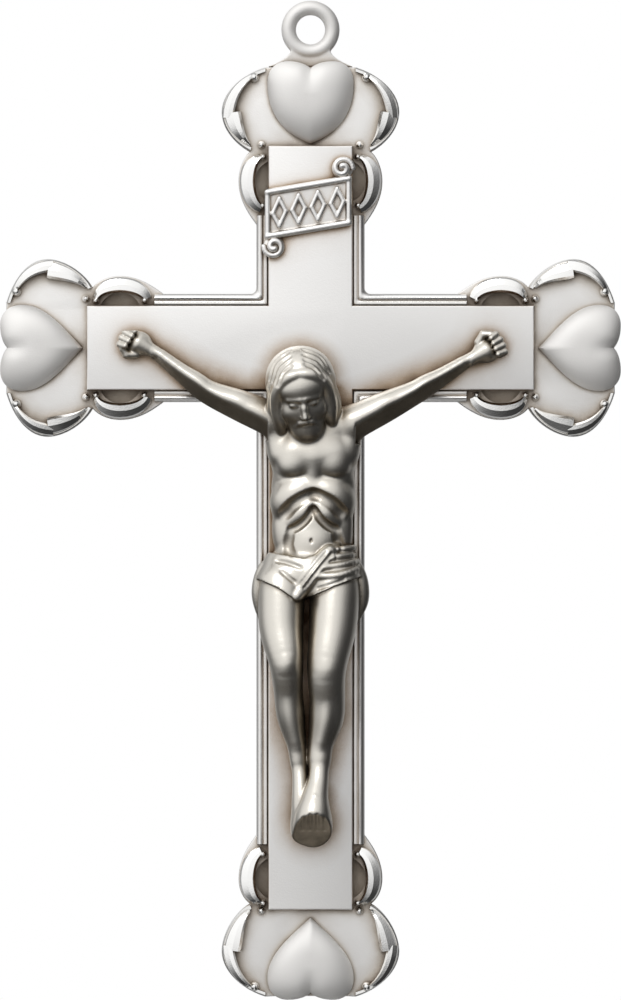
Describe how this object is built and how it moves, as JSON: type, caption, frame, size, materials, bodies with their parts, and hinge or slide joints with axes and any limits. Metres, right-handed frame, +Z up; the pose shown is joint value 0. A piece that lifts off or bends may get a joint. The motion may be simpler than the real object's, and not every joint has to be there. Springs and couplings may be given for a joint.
{
  "type": "crucifix pendant",
  "caption": "Hanging crucifix: lobed back plate, raised plain cross, puffed hearts, bright rims, slanted scroll, pinned cast figure and a closed ring on top.",
  "frame": {"origin": "centre of the hanging ring's eye, at mid thickness of the ring", "axes": "+Z up towards the top of the ring, -Y towards the viewer of the figure, +X to that viewer's right"},
  "size_m": [0.0316, 0.0048, 0.0509],
  "materials": {
    "satin_silver": "satin silver with a little brown-grey patina in the hollows",
    "polished_silver": "bright-cut polished silver",
    "antiqued_silver": "antiqued cast silver, dark in the recesses and burnished on the high points"
  },
  "bodies": {
    "root": {"back_plate": "satin_silver", "cross_face": "satin_silver", "figure": "antiqued_silver", "scroll": "satin_silver", "hanging_ring": "satin_silver", "pin_left_hand": "antiqued_silver", "pin_right_hand": "antiqued_silver", "pin_feet": "antiqued_silver", "heart_top": "satin_silver", "heart_left": "satin_silver", "heart_bottom": "satin_silver", "heart_right": "satin_silver", "end_rim_top_a": "polished_silver", "side_rim_top_a": "polished_silver", "end_rim_top_b": "polished_silver", "side_rim_top_b": "polished_silver", "end_rim_left_a": "polished_silver", "side_rim_left_a": "polished_silver", "end_rim_left_b": "polished_silver", "side_rim_left_b": "polished_silver", "end_rim_bottom_a": "polished_silver", "side_rim_bottom_a": "polished_silver", "end_rim_bottom_b": "polished_silver", "side_rim_bottom_b": "polished_silver", "end_rim_right_a": "polished_silver", "side_rim_right_a": "polished_silver", "end_rim_right_b": "polished_silver", "side_rim_right_b": "polished_silver", "edge_moulding_upper_left": "satin_silver", "edge_moulding_upper_right": "satin_silver", "edge_moulding_lower_left": "satin_silver", "edge_moulding_lower_right": "satin_silver"}
  },
  "joints": []
}
